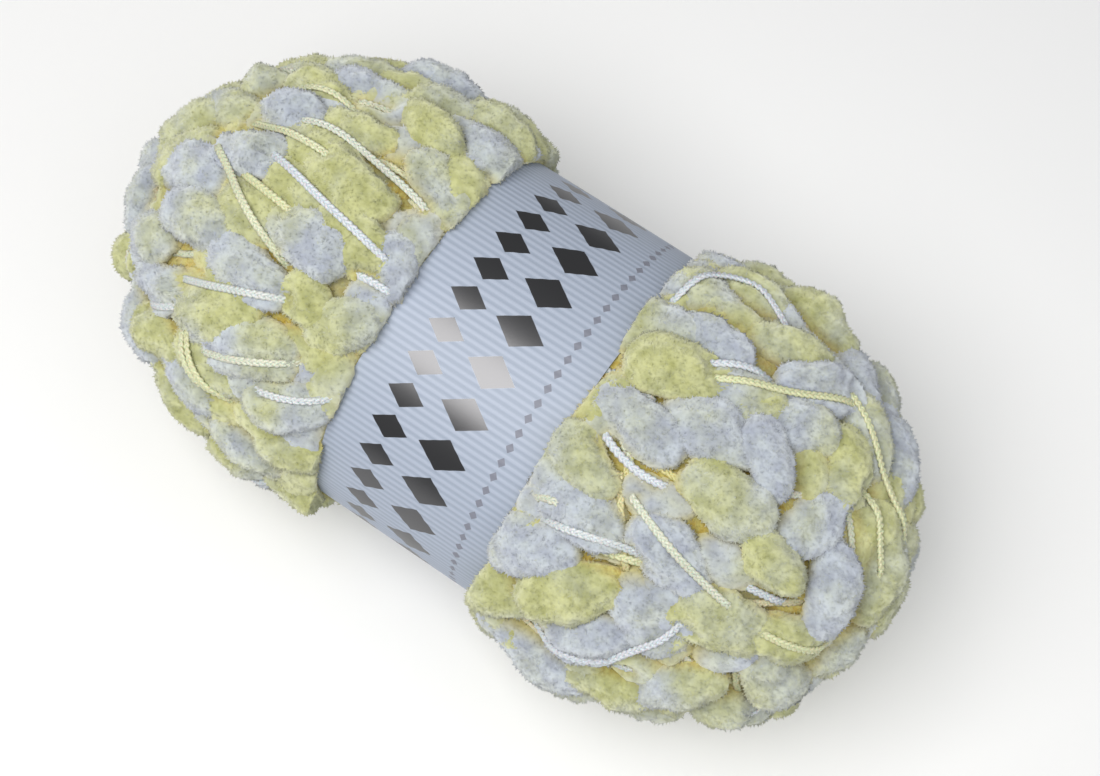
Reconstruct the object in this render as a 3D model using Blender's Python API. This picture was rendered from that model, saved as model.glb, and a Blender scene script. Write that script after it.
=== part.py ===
"""A banded ball of pompom yarn: fat soft bobbles on a thin cord, wound into a long ball
and held at its waist by a paper band. It lies on its side with its long axis along X.

Lengths in the tables and formulas are millimetres, and MM turns them into metres.
"""

import math
import random

import bpy
import numpy as np

MM = 0.001

# Driving dimensions of the wound ball
TIP = 119.3             # middle of the ball to the last bobble's centre, each way
CAP_START_LEFT = -48.0  # where the left end cap begins to round over
CAP_START_RIGHT = 47.0
BED_LEFT = 59.5         # radius of the bed of bobble centres at the left bulge
BED_RIGHT = 60.0
BED_WAIST = 51.0
FLATNESS = 0.93         # height of a cross-section as a share of its width
AXIS_HEIGHT = 58.6      # the ball's axis above the surface that it lies on
PRESSED = 3.5           # lowest bobble centres above that surface

# Bobbles
BOBBLE_LENGTH = 25.0
BOBBLE_SLIMNESS = 0.57  # width as a share of length
BOBBLE_FLATNESS = 0.86  # thickness as a share of width
FILL_BOBBLES = 128
VALLEY = 2.6            # depth of the crevices below the bobble centres
OPENING = 20.0          # radius of the cord-free eye at each end of the ball

# Paper band
BAND_WIDTH = 56.0
BAND_RADIUS = 56.8
PAPER = 1.0
LAP_ANGLE = 22.0        # the glued lap under the ball, in degrees
LAP_STEP = 0.5
FIT = 0.4               # clearance between the pressed yarn and the paper

# Mesh steps
COLUMNS = 92
CAP_ROWS = 29
BAND_ROWS = 3
BAND_COLUMNS = 120

# Bobbles that stand out on the seen side. Along is from the middle of the ball, around is
# from the top towards -Y, and heading turns from the ball's length towards that side.
PLACED = (
    # along_mm, around_deg, heading_deg, length_mm
    (-81, -14, -11, 22), (-84, 3, -9, 25), (-96, 16, -8, 24), (-109, 0, -38, 24),
    (-101, -13, 16, 24), (-98, -36, -60, 22), (-86, 27, -4, 28), (-98, 44, -28, 24),
    (-112, 46, 70, 22), (-107, 74, -60, 24), (-89, 54, -20, 23), (-55, 15, 5, 27),
    (-65, 30, 3, 26), (-45, 27, 27, 20), (-68, 45, -36, 29), (-85, 70, -30, 24),
    (-54, 47, -25, 26), (-70, 71, 24, 22), (-74, 92, 20, 24), (-39, 56, -26, 26),
    (-34, 70, -14, 22), (-49, 82, 12, 23), (-64, -18, -7, 22), (-49, -31, 35, 22),
    (-37, -16, 26, 22), (-55, -44, -35, 24), (-62, -61, -20, 28), (-73, -36, -7, 22),
    (-39, -52, -10, 25), (-56, -3, 9, 27), (-46, 8, 11, 24), (-32, 9, 45, 20),
    (-35, 27, -48, 22), (43, -7, -16, 28), (46, -20, -8, 23), (74, -29, -43, 27),
    (62, -34, -30, 22), (63, -62, 12, 27), (47, -46, -6, 22), (82, -50, 40, 25),
    (86, -70, 50, 24), (99, -46, 32, 26), (91, -17, 57, 22), (76, -15, -38, 23),
    (73, -2, 40, 24), (58, 1, -11, 26), (44, 9, 18, 24), (36, 23, 14, 23),
    (43, 35, 0, 23), (71, 12, 0, 27), (66, 31, 20, 23), (88, 20, 20, 22),
    (103, 17, 63, 27), (92, 3, -62, 22), (112, -6, 56, 26), (86, 42, 9, 28),
    (36, 50, -33, 26), (50, 54, -46, 29), (60, 65, -42, 26), (52, 88, 15, 28),
    (33, 73, -40, 22), (71, 84, 0, 24), (85, 71, -35, 26), (104, 64, 44, 26),
    (99, 90, 45, 26), (101, 41, -2, 23), (-118, 20, 15, 25), (118, -20, 60, 25),
)


def bed_radius(along):
    """Radius of the bed of bobble centres at a distance along the ball."""
    if along < CAP_START_LEFT:
        past = (along - CAP_START_LEFT) / (TIP + CAP_START_LEFT)
        return BED_LEFT * math.sqrt(max(0.0, 1.0 - past * past))
    if along > CAP_START_RIGHT:
        past = (along - CAP_START_RIGHT) / (TIP - CAP_START_RIGHT)
        return BED_RIGHT * math.sqrt(max(0.0, 1.0 - past * past))
    share = (along - CAP_START_LEFT) / (CAP_START_RIGHT - CAP_START_LEFT)
    bulge = BED_LEFT + (BED_RIGHT - BED_LEFT) * share
    squeeze = 0.5 - 0.5 * math.cos(2.0 * math.pi * share)
    return bulge + (BED_WAIST - bulge) * squeeze


PROFILE_STEPS = 600
PROFILE_ALONG = np.array([
    TIP * math.sin(math.pi * (step / PROFILE_STEPS - 0.5)) for step in range(PROFILE_STEPS + 1)
])
PROFILE_RADIUS = np.array([bed_radius(along) for along in PROFILE_ALONG])
PROFILE_RUN = np.concatenate([
    [0.0], np.cumsum(np.hypot(np.diff(PROFILE_ALONG), np.diff(PROFILE_RADIUS)))
])
RUN_LENGTH = float(PROFILE_RUN[-1])


def run_at(along):
    """Distance over the surface, from the left pole, of a distance along the axis."""
    return np.interp(along, PROFILE_ALONG, PROFILE_RUN)


def along_at(run):
    return np.interp(run, PROFILE_RUN, PROFILE_ALONG)


def bed_frame(run, around):
    """Points on the bed, with their outward normals and the two directions along it."""
    step = 0.5
    along = np.interp(run, PROFILE_RUN, PROFILE_ALONG)
    radius = np.interp(run, PROFILE_RUN, PROFILE_RADIUS)
    before = np.clip(run - step, 0.0, RUN_LENGTH)
    after = np.clip(run + step, 0.0, RUN_LENGTH)
    run_x = np.interp(after, PROFILE_RUN, PROFILE_ALONG) - np.interp(before, PROFILE_RUN, PROFILE_ALONG)
    run_r = np.interp(after, PROFILE_RUN, PROFILE_RADIUS) - np.interp(before, PROFILE_RUN, PROFILE_RADIUS)
    sin, cos = np.sin(around), np.cos(around)
    height = np.maximum(radius * cos * FLATNESS, PRESSED - AXIS_HEIGHT)
    point = np.stack([along, -radius * sin, height], axis=-1)
    lengthwise = np.stack([run_x, -run_r * sin, run_r * cos * FLATNESS], axis=-1)
    crosswise = np.stack([np.zeros_like(sin), -cos, -sin * FLATNESS], axis=-1)
    lengthwise /= np.linalg.norm(lengthwise, axis=-1, keepdims=True)
    crosswise /= np.linalg.norm(crosswise, axis=-1, keepdims=True)
    outward = np.cross(crosswise, lengthwise)
    outward /= np.linalg.norm(outward, axis=-1, keepdims=True)
    return point, outward, lengthwise, np.cross(lengthwise, outward)


def winding_heading(along, chance):
    """A turn runs past the eye at each end, so it swings round as it nears the pole."""
    radius = bed_radius(along)
    if radius <= OPENING * 1.05:
        return math.radians(80.0 + 10.0 * chance.random())
    nose = min(1.0, max(0.0, (abs(along) - CAP_START_RIGHT) / (TIP - CAP_START_RIGHT)))
    swing = math.atan(nose * OPENING / math.sqrt(radius * radius - OPENING * OPENING))
    side = 1.0 if chance.random() < 0.5 else -1.0
    return side * (swing + math.radians(8.0)) + math.radians(chance.gauss(0.0, 8.0))


def lay_bobbles():
    """The outer bobbles: run, around, heading, half length, half width, half thickness."""
    chance = random.Random(11)
    rows = [
        (float(run_at(along)), math.radians(around), math.radians(heading), length / 2.0)
        for along, around, heading, length in PLACED
    ]
    placed = len(rows)
    weights = PROFILE_RADIUS * (np.abs(PROFILE_ALONG) > BAND_WIDTH / 2.0 + 3.0)
    spread = np.concatenate([[0.0], np.cumsum(weights[1:] * np.diff(PROFILE_RUN))])
    while len(rows) < placed + FILL_BOBBLES:
        run, around = emptiest_spot(rows, spread, chance)
        heading = winding_heading(float(along_at(run)), chance)
        rows.append((run, around, heading, BOBBLE_LENGTH / 2.0 * chance.uniform(0.88, 1.12)))
    run, around, heading, half_length = (np.array(column) for column in zip(*rows))
    half_width = half_length * BOBBLE_SLIMNESS
    ease = np.where(np.arange(len(rows)) < placed, 0.0, 1.0)
    settle(run, around, heading, half_length, half_width, ease)
    return run, around, heading, half_length, half_width, half_width * BOBBLE_FLATNESS


def emptiest_spot(rows, spread, chance):
    """Of a few spots drawn at random, the one farthest from every bobble laid so far."""
    taken, _, _, _ = bed_frame(np.array([row[0] for row in rows]), np.array([row[1] for row in rows]))
    run = np.interp([chance.random() * spread[-1] for _ in range(30)], spread, PROFILE_RUN)
    around = np.array([chance.uniform(-math.pi, math.pi) for _ in range(30)])
    spots, _, _, _ = bed_frame(run, around)
    room = np.linalg.norm(spots[:, None] - taken[None], axis=-1).min(axis=1)
    return float(run[room.argmax()]), float(around[room.argmax()])


def settle(run, around, heading, half_length, half_width, ease):
    """Bobbles that lie over each other slide apart until they cover the ball evenly."""
    rounds, push = 160, 2.2
    for turn in range(rounds):
        close = 1.12 - 0.14 * turn / rounds
        point, _, lengthwise, crosswise = bed_frame(run, around)
        fore = np.cos(heading)[:, None] * lengthwise + np.sin(heading)[:, None] * crosswise
        side = np.cos(heading)[:, None] * crosswise - np.sin(heading)[:, None] * lengthwise
        apart = point[:, None] - point[None]
        ahead = np.einsum("ijk,ik->ij", apart, fore)
        beside = np.einsum("ijk,ik->ij", apart, side)
        reach = close * (half_length[:, None] + half_length[None])
        breadth = close * (half_width[:, None] + half_width[None])
        ratio = np.sqrt((ahead / reach) ** 2 + (beside / breadth) ** 2) + 1e-6
        near = np.linalg.norm(apart, axis=-1) < 40.0
        overlap = np.where(near, np.clip(1.0 - ratio, 0.0, 1.0), 0.0)
        np.fill_diagonal(overlap, 0.0)
        go_ahead = (overlap * ahead / reach / ratio).sum(axis=1)
        go_beside = (overlap * beside / breadth / ratio).sum(axis=1)
        moved = push * ease[:, None] * (go_ahead[:, None] * fore + go_beside[:, None] * side)
        radius = np.maximum(np.interp(run, PROFILE_RUN, PROFILE_RADIUS), 9.0)
        run += np.einsum("ij,ij->i", moved, lengthwise)
        around += np.einsum("ij,ij->i", moved, crosswise) / radius
        keep_on_ball(run)


def keep_on_ball(run):
    """No bobble goes under the band, past its first half width, or over a pole."""
    rim = BAND_WIDTH / 2.0 + 3.5
    left_rim, right_rim = float(run_at(-rim)), float(run_at(rim))
    inside = (run > left_rim) & (run < right_rim)
    run[inside & (run < RUN_LENGTH / 2.0)] = left_rim
    run[inside & (run >= RUN_LENGTH / 2.0)] = right_rim
    np.clip(run, 3.0, RUN_LENGTH - 3.0, out=run)


def surface_height(base, outward, bobbles):
    """How far the yarn stands above each base point: the last bobble that a ray meets."""
    run, around, heading, half_length, half_width, half_thickness = bobbles
    centre, up, lengthwise, crosswise = bed_frame(run, around)
    fore = np.cos(heading)[:, None] * lengthwise + np.sin(heading)[:, None] * crosswise
    side = np.cross(up, fore)
    height = np.full(len(base), -VALLEY)
    for index in range(len(run)):
        axes = np.stack([
            fore[index] / half_length[index],
            side[index] / half_width[index],
            up[index] / half_thickness[index],
        ])
        start = (base - centre[index]) @ axes.T
        way = outward @ axes.T
        a = (way * way).sum(axis=1)
        b = (start * way).sum(axis=1)
        c = (start * start).sum(axis=1) - 1.0
        inside = b * b - a * c
        reached = (-b + np.sqrt(np.maximum(inside, 0.0))) / a
        near = (inside > 0.0) & (np.linalg.norm(base - centre[index], axis=1) < 2.5 * half_length[index])
        height = np.where(near, np.maximum(height, reached), height)
    return height


def soften(height, rows):
    """Yarn has no sharp pits: each point gives way a little to the points around it."""
    grid = height[1:-1].reshape(rows, COLUMNS)
    above = np.concatenate([grid[:1], grid[:-1]])
    below = np.concatenate([grid[1:], grid[-1:]])
    around = (above + below + np.roll(grid, 1, axis=1) + np.roll(grid, -1, axis=1)) / 4.0
    pit = grid < around
    grid = np.where(pit, 0.6 * grid + 0.4 * around, 0.95 * grid + 0.05 * around)
    return np.concatenate([[grid[0].mean()], grid.ravel(), [grid[-1].mean()]])


def skein_rows():
    """Distances over the surface of the mesh rows, with one row on each edge of the band."""
    edge = BAND_WIDTH / 2.0 + 0.7
    left, right = float(run_at(-edge)), float(run_at(edge))
    rows = [left * step / CAP_ROWS for step in range(1, CAP_ROWS)]
    rows += [left + (right - left) * step / BAND_ROWS for step in range(BAND_ROWS + 1)]
    rows += [right + (RUN_LENGTH - right) * step / CAP_ROWS for step in range(1, CAP_ROWS)]
    return np.array(rows)


def under_band(points):
    """The band squeezes the yarn inside it, and the yarn swells out past each edge."""
    edge = BAND_WIDTH / 2.0
    across = np.hypot(points[:, 1], points[:, 2] / FLATNESS)
    beyond = np.clip(np.abs(points[:, 0]) - edge - 0.8, 0.0, None)
    snug = BAND_RADIUS - PAPER - FIT
    limit = snug + 1.9 * beyond
    covered = np.abs(points[:, 0]) <= edge + 0.8
    wanted = np.where(covered, snug, np.minimum(across, limit))
    scale = wanted / np.maximum(across, 1e-6)
    points[:, 1] *= scale
    points[:, 2] *= scale
    return points


def skein_mesh():
    """The wound yarn as one skin, raised over every bobble of its outer layer."""
    bobbles = lay_bobbles()
    rows = skein_rows()
    turns = np.arange(COLUMNS) * 2.0 * math.pi / COLUMNS
    run = np.concatenate([[0.0], np.repeat(rows, COLUMNS), [RUN_LENGTH]])
    around = np.concatenate([[0.0], np.tile(turns, len(rows)), [0.0]])
    base, outward, _, _ = bed_frame(run, around)
    outward[0], outward[-1] = (-1.0, 0.0, 0.0), (1.0, 0.0, 0.0)
    radial = base * (0.0, 1.0, 1.0)
    radial /= np.maximum(np.linalg.norm(radial, axis=1, keepdims=True), 1e-6)
    banded = np.abs(base[:, 0:1]) < BAND_WIDTH / 2.0 + 16.0
    outward = np.where(banded, radial, outward)
    height = soften(surface_height(base, outward, bobbles), len(rows))
    points = under_band(base + outward * height[:, None])
    points[:, 2] = np.maximum(points[:, 2], -AXIS_HEIGHT)
    last = 1 + (len(rows) - 1) * COLUMNS
    faces = []
    for column in range(COLUMNS):
        beside = (column + 1) % COLUMNS
        faces.append((0, 1 + beside, 1 + column))
        faces.append((len(points) - 1, last + column, last + beside))
        for here in range(1, last, COLUMNS):
            there = here + COLUMNS
            faces += split(points, here + column, here + beside, there + beside, there + column)
    return points, faces


def split(points, a, b, c, d):
    """A four-sided face as two triangles, parted along its shorter diagonal."""
    if np.linalg.norm(points[a] - points[c]) < np.linalg.norm(points[b] - points[d]):
        return [(a, b, c), (a, c, d)]
    return [(a, b, d), (b, c, d)]


def band_mesh():
    """The paper band: a sleeve of the waist's outline, its two ends lapped underneath."""
    turns = [2.0 * math.pi * column / BAND_COLUMNS for column in range(BAND_COLUMNS)]
    rings = (
        (-BAND_WIDTH / 2.0, True), (BAND_WIDTH / 2.0, True),
        (BAND_WIDTH / 2.0, False), (-BAND_WIDTH / 2.0, False),
    )
    points = []
    for along, outer in rings:
        for turn in turns:
            past_seam = (math.degrees(turn) - 180.0) % 360.0
            lap = LAP_STEP * max(0.0, 1.0 - past_seam / LAP_ANGLE)
            radius = BAND_RADIUS + lap if outer else BAND_RADIUS - PAPER
            points.append((along, -radius * math.sin(turn), radius * math.cos(turn) * FLATNESS))
    faces = []
    for ring in range(len(rings)):
        here, there = ring * BAND_COLUMNS, (ring + 1) % len(rings) * BAND_COLUMNS
        for column in range(BAND_COLUMNS):
            beside = (column + 1) % BAND_COLUMNS
            faces.append((here + column, here + beside, there + beside, there + column))
    return np.array(points), faces


def material(name, colour, roughness):
    made = bpy.data.materials.new(name)
    made.use_nodes = True
    shader = made.node_tree.nodes["Principled BSDF"]
    shader.inputs["Base Color"].default_value = (*colour, 1.0)
    shader.inputs["Roughness"].default_value = roughness
    shader.inputs["Metallic"].default_value = 0.0
    return made


def solid(name, points, faces, finish, sharp_deg):
    mesh = bpy.data.meshes.new(name)
    mesh.from_pydata([tuple(point) for point in points * MM], [], faces)
    mesh.validate()
    mesh.materials.append(finish)
    mesh.shade_smooth()
    mesh.set_sharp_from_angle(angle=math.radians(sharp_deg))
    made = bpy.data.objects.new(name, mesh)
    bpy.context.scene.collection.objects.link(made)
    return made


def clear_scene():
    for old in list(bpy.data.objects):
        bpy.data.objects.remove(old)


def main():
    clear_scene()
    yarn, yarn_faces = skein_mesh()
    band, band_faces = band_mesh()
    middle = (yarn.min(axis=0) + yarn.max(axis=0)) / 2.0
    to_origin = np.array([-middle[0], -middle[1], AXIS_HEIGHT])
    soft = material("pompom_yarn", (0.86, 0.85, 0.58), 0.95)
    paper = material("band_paper", (0.76, 0.79, 0.86), 0.55)
    solid("skein", yarn + to_origin, yarn_faces, soft, 60.0)
    solid("band", band + to_origin, band_faces, paper, 30.0)


main()
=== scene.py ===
"""The looks of a banded ball of pompom yarn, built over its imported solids.

Lengths in the tables and formulas are millimetres in the ball's own frame, whose origin is the
middle of its axis. MM and to_row() turn them into metres in the row's frame.
"""

import itertools
import math
import random

import bpy
import numpy as np
from mathutils import Matrix, Vector
from mathutils.kdtree import KDTree


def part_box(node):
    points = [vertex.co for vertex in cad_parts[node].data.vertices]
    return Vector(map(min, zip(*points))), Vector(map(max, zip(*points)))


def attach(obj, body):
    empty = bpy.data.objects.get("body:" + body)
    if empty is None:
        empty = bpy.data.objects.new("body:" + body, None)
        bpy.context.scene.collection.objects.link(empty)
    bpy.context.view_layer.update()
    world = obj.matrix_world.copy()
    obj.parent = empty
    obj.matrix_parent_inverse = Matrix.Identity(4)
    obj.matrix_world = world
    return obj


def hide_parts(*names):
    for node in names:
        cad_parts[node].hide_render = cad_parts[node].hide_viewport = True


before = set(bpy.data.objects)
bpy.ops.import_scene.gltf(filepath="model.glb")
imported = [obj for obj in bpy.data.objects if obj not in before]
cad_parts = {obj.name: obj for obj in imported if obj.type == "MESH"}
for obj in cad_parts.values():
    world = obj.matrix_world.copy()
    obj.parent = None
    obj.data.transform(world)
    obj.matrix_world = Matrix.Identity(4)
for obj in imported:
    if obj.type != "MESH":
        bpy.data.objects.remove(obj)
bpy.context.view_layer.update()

MM = 0.001

# Driving dimensions of the wound ball, as in the solids
TIP = 119.3
CAP_START_LEFT = -48.0
CAP_START_RIGHT = 47.0
BED_LEFT = 59.5
BED_RIGHT = 60.0
BED_WAIST = 51.0
FLATNESS = 0.93
AXIS_HEIGHT = 58.6
PRESSED = 3.5
BOBBLE_LENGTH = 25.0
BOBBLE_SLIMNESS = 0.57
BOBBLE_FLATNESS = 0.86
FILL_BOBBLES = 128
INFILL_BOBBLES = 150
EDGE_RING = 17
VALLEY = 2.6
OPENING = 20.0
BAND_EDGE = 28.0  # half the band's width
BAND_RADIUS = 56.8
BAND_GIRTH = 2.0 * math.pi * BAND_RADIUS * 0.965  # the ball is a little flat, which shortens it

# Bobbles that stand out on the seen side. Along is from the middle of the ball, around is
# from the top towards -Y, and heading turns from the ball's length towards that side. The
# last two columns say how yellow each end is.
PLACED = (
    # along_mm, around_deg, heading_deg, length_mm, yellow_start, yellow_end
    (-81, -14, -11, 22, 0, 0), (-84, 3, -9, 25, 0.1, 0.1), (-96, 16, -8, 24, 0, 0.1),
    (-109, 0, -38, 24, 0.8, 0.7), (-101, -13, 16, 24, 0.2, 0.7), (-98, -36, -60, 22, 0.6, 0.5),
    (-86, 27, -4, 28, 0, 0.2), (-98, 44, -28, 24, 0, 0.3), (-112, 46, 70, 22, 0, 0),
    (-107, 74, -60, 24, 1, 1), (-89, 54, -20, 23, 0, 0.1), (-55, 15, 5, 27, 0, 0),
    (-65, 30, 3, 26, 0.1, 0), (-45, 27, 27, 20, 0.9, 0.8), (-68, 45, -36, 29, 0.5, 1),
    (-85, 70, -30, 24, 0.9, 1), (-54, 47, -25, 26, 0, 0.5), (-70, 71, 24, 22, 0, 0.1),
    (-74, 92, 20, 24, 0.8, 0.9), (-39, 56, -26, 26, 0.5, 0.1), (-34, 70, -14, 22, 0.7, 0.8),
    (-49, 82, 12, 23, 0.2, 0.4), (-64, -18, -7, 22, 0.7, 0.8), (-49, -31, 35, 22, 0.9, 0.8),
    (-37, -16, 26, 22, 0.4, 0.3), (-55, -44, -35, 24, 0.6, 0.5), (-62, -61, -20, 28, 0, 0),
    (-73, -36, -7, 22, 0, 0.1), (-39, -52, -10, 25, 0.8, 0.7), (-56, -3, 9, 27, 1, 1),
    (-46, 8, 11, 24, 0.9, 1), (-32, 9, 45, 20, 0, 0), (-35, 27, -48, 22, 0.6, 0.5),
    (43, -7, -16, 28, 1, 1), (46, -20, -8, 23, 0.1, 0), (74, -29, -43, 27, 0, 0),
    (62, -34, -30, 22, 0.8, 0.8), (63, -62, 12, 27, 0.9, 0.8), (47, -46, -6, 22, 0.9, 0.7),
    (82, -50, 40, 25, 0, 0), (86, -70, 50, 24, 0.6, 0.6), (99, -46, 32, 26, 0, 0),
    (91, -17, 57, 22, 1, 0.9), (76, -15, -38, 23, 0, 0.5), (73, -2, 40, 24, 0, 0),
    (58, 1, -11, 26, 0.1, 0.2), (44, 9, 18, 24, 0, 0.1), (36, 23, 14, 23, 0.6, 0.6),
    (43, 35, 0, 23, 0, 0.1), (71, 12, 0, 27, 0.8, 0.5), (66, 31, 20, 23, 0, 0),
    (88, 20, 20, 22, 0.9, 0.9), (103, 17, 63, 27, 0, 0), (92, 3, -62, 22, 0.2, 0),
    (112, -6, 56, 26, 0.7, 0.7), (86, 42, 9, 28, 0.8, 0.7), (36, 50, -33, 26, 0, 0.1),
    (50, 54, -46, 29, 1, 1), (60, 65, -42, 26, 0, 0), (52, 88, 15, 28, 0, 0),
    (33, 73, -40, 22, 0.8, 0.9), (71, 84, 0, 24, 0.9, 0.9), (85, 71, -35, 26, 0.2, 0.8),
    (104, 64, 44, 26, 0.6, 0.4), (99, 90, 45, 26, 0.6, 0.5), (101, 41, -2, 23, 0.8, 0.9),
    (-118, 20, 15, 25, 0.3, 0.1), (118, -20, 60, 25, 0.8, 0.7),
)


def bed_radius(along):
    """Radius of the bed of bobble centres at a distance along the ball."""
    if along < CAP_START_LEFT:
        past = (along - CAP_START_LEFT) / (TIP + CAP_START_LEFT)
        return BED_LEFT * math.sqrt(max(0.0, 1.0 - past * past))
    if along > CAP_START_RIGHT:
        past = (along - CAP_START_RIGHT) / (TIP - CAP_START_RIGHT)
        return BED_RIGHT * math.sqrt(max(0.0, 1.0 - past * past))
    share = (along - CAP_START_LEFT) / (CAP_START_RIGHT - CAP_START_LEFT)
    bulge = BED_LEFT + (BED_RIGHT - BED_LEFT) * share
    squeeze = 0.5 - 0.5 * math.cos(2.0 * math.pi * share)
    return bulge + (BED_WAIST - bulge) * squeeze


def running_total(values):
    return np.concatenate([[0.0], np.cumsum(values)])


PROFILE_STEPS = 600
PROFILE_ALONG = np.array([
    TIP * math.sin(math.pi * (step / PROFILE_STEPS - 0.5)) for step in range(PROFILE_STEPS + 1)
])
PROFILE_RADIUS = np.array([bed_radius(along) for along in PROFILE_ALONG])
PROFILE_RUN = running_total(np.hypot(np.diff(PROFILE_ALONG), np.diff(PROFILE_RADIUS)))
RUN_LENGTH = float(PROFILE_RUN[-1])


def run_at(along):
    """Distance over the surface, from the left pole, of a distance along the axis."""
    return np.interp(along, PROFILE_ALONG, PROFILE_RUN)


def along_at(run):
    return np.interp(run, PROFILE_RUN, PROFILE_ALONG)


def radius_at(run):
    return np.interp(run, PROFILE_RUN, PROFILE_RADIUS)


def normalise(vectors):
    return vectors / np.maximum(np.linalg.norm(vectors, axis=-1, keepdims=True), 1e-9)


def bed_frame(run, around):
    """Points on the bed, with their outward normals and the two directions along it."""
    before, after = (np.clip(run + step, 0.0, RUN_LENGTH) for step in (-0.5, 0.5))
    run_x = along_at(after) - along_at(before)
    run_r = radius_at(after) - radius_at(before)
    sin, cos = np.sin(around), np.cos(around)
    height = np.maximum(radius_at(run) * cos * FLATNESS, PRESSED - AXIS_HEIGHT)
    point = np.stack([along_at(run), -radius_at(run) * sin, height], axis=-1)
    lengthwise = normalise(np.stack([run_x, -run_r * sin, run_r * cos * FLATNESS], axis=-1))
    crosswise = normalise(np.stack([np.zeros_like(sin), -cos, -sin * FLATNESS], axis=-1))
    outward = normalise(np.cross(crosswise, lengthwise))
    return point, outward, lengthwise, np.cross(lengthwise, outward)


def bobble_frame(run, around, heading):
    """The middles of bobbles on the bed, with their outward and forward directions."""
    centre, up, lengthwise, crosswise = bed_frame(run, around)
    return centre, up, np.cos(heading)[:, None] * lengthwise + np.sin(heading)[:, None] * crosswise


def winding_heading(along, chance):
    """A turn runs past the eye at each end, so it swings round as it nears the pole."""
    radius = bed_radius(along)
    if radius <= OPENING * 1.05:
        return math.radians(80.0 + 10.0 * chance.random())
    nose = min(1.0, max(0.0, (abs(along) - CAP_START_RIGHT) / (TIP - CAP_START_RIGHT)))
    swing = math.atan(nose * OPENING / math.sqrt(radius * radius - OPENING * OPENING))
    side = 1.0 if chance.random() < 0.5 else -1.0
    return side * (swing + math.radians(8.0)) + math.radians(chance.gauss(0.0, 8.0))


def open_spread(gap):
    """How the bed's area adds up along it, leaving out the band and a gap beside it."""
    weights = PROFILE_RADIUS * (np.abs(PROFILE_ALONG) > BAND_EDGE + gap)
    return running_total(weights[1:] * np.diff(PROFILE_RUN))


def lay_bobbles():
    """The outer bobbles: run, around, heading, half length, half width, half thickness."""
    chance = random.Random(11)
    rows = [
        (float(run_at(along)), math.radians(around), math.radians(heading), length / 2.0)
        for along, around, heading, length, _, _ in PLACED
    ]
    spread = open_spread(3.0)
    while len(rows) < len(PLACED) + FILL_BOBBLES:
        run, around = emptiest_spot(rows, spread, chance)
        heading = winding_heading(float(along_at(run)), chance)
        rows.append((run, around, heading, BOBBLE_LENGTH / 2.0 * chance.uniform(0.88, 1.12)))
    run, around, heading, half_length = (np.array(column) for column in zip(*rows))
    half_width = half_length * BOBBLE_SLIMNESS
    ease = np.where(np.arange(len(rows)) < len(PLACED), 0.0, 1.0)
    settle(run, around, heading, half_length, half_width, ease)
    return run, around, heading, half_length, half_width, half_width * BOBBLE_FLATNESS


def emptiest_spot(rows, spread, chance):
    """Of a few spots drawn at random, the one farthest from every bobble laid so far."""
    draws = 30
    taken, _, _, _ = bed_frame(*(np.array([row[column] for row in rows]) for column in (0, 1)))
    run = np.interp([chance.random() * spread[-1] for _ in range(draws)], spread, PROFILE_RUN)
    around = np.array([chance.uniform(-math.pi, math.pi) for _ in range(draws)])
    spots, _, _, _ = bed_frame(run, around)
    room = np.linalg.norm(spots[:, None] - taken[None], axis=-1).min(axis=1)
    return float(run[room.argmax()]), float(around[room.argmax()])


def settle(run, around, heading, half_length, half_width, ease):
    """Bobbles that lie over each other slide apart until they cover the ball evenly. The room
    that each one asks for shrinks a little with every round."""
    rounds, push, reach_of_touch = 160, 2.2, 40.0
    for turn in range(rounds):
        close = 1.12 - 0.14 * turn / rounds
        point, _, lengthwise, crosswise = bed_frame(run, around)
        fore = np.cos(heading)[:, None] * lengthwise + np.sin(heading)[:, None] * crosswise
        side = np.cos(heading)[:, None] * crosswise - np.sin(heading)[:, None] * lengthwise
        apart = point[:, None] - point[None]
        ahead = np.einsum("ijk,ik->ij", apart, fore)
        beside = np.einsum("ijk,ik->ij", apart, side)
        reach = close * (half_length[:, None] + half_length[None])
        breadth = close * (half_width[:, None] + half_width[None])
        ratio = np.sqrt((ahead / reach) ** 2 + (beside / breadth) ** 2) + 1e-6
        near = np.linalg.norm(apart, axis=-1) < reach_of_touch
        overlap = np.where(near, np.clip(1.0 - ratio, 0.0, 1.0), 0.0)
        np.fill_diagonal(overlap, 0.0)
        go_ahead = (overlap * ahead / reach / ratio).sum(axis=1)
        go_beside = (overlap * beside / breadth / ratio).sum(axis=1)
        moved = push * ease[:, None] * (go_ahead[:, None] * fore + go_beside[:, None] * side)
        radius = np.maximum(radius_at(run), 9.0)
        run += np.einsum("ij,ij->i", moved, lengthwise)
        around += np.einsum("ij,ij->i", moved, crosswise) / radius
        keep_on_ball(run)


def keep_on_ball(run):
    """No bobble goes under the band, past its first half width, or over a pole."""
    rim = BAND_EDGE + 3.5
    left_rim, right_rim = float(run_at(-rim)), float(run_at(rim))
    inside = (run > left_rim) & (run < right_rim)
    run[inside & (run < RUN_LENGTH / 2.0)] = left_rim
    run[inside & (run >= RUN_LENGTH / 2.0)] = right_rim
    np.clip(run, 3.0, RUN_LENGTH - 3.0, out=run)


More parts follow.
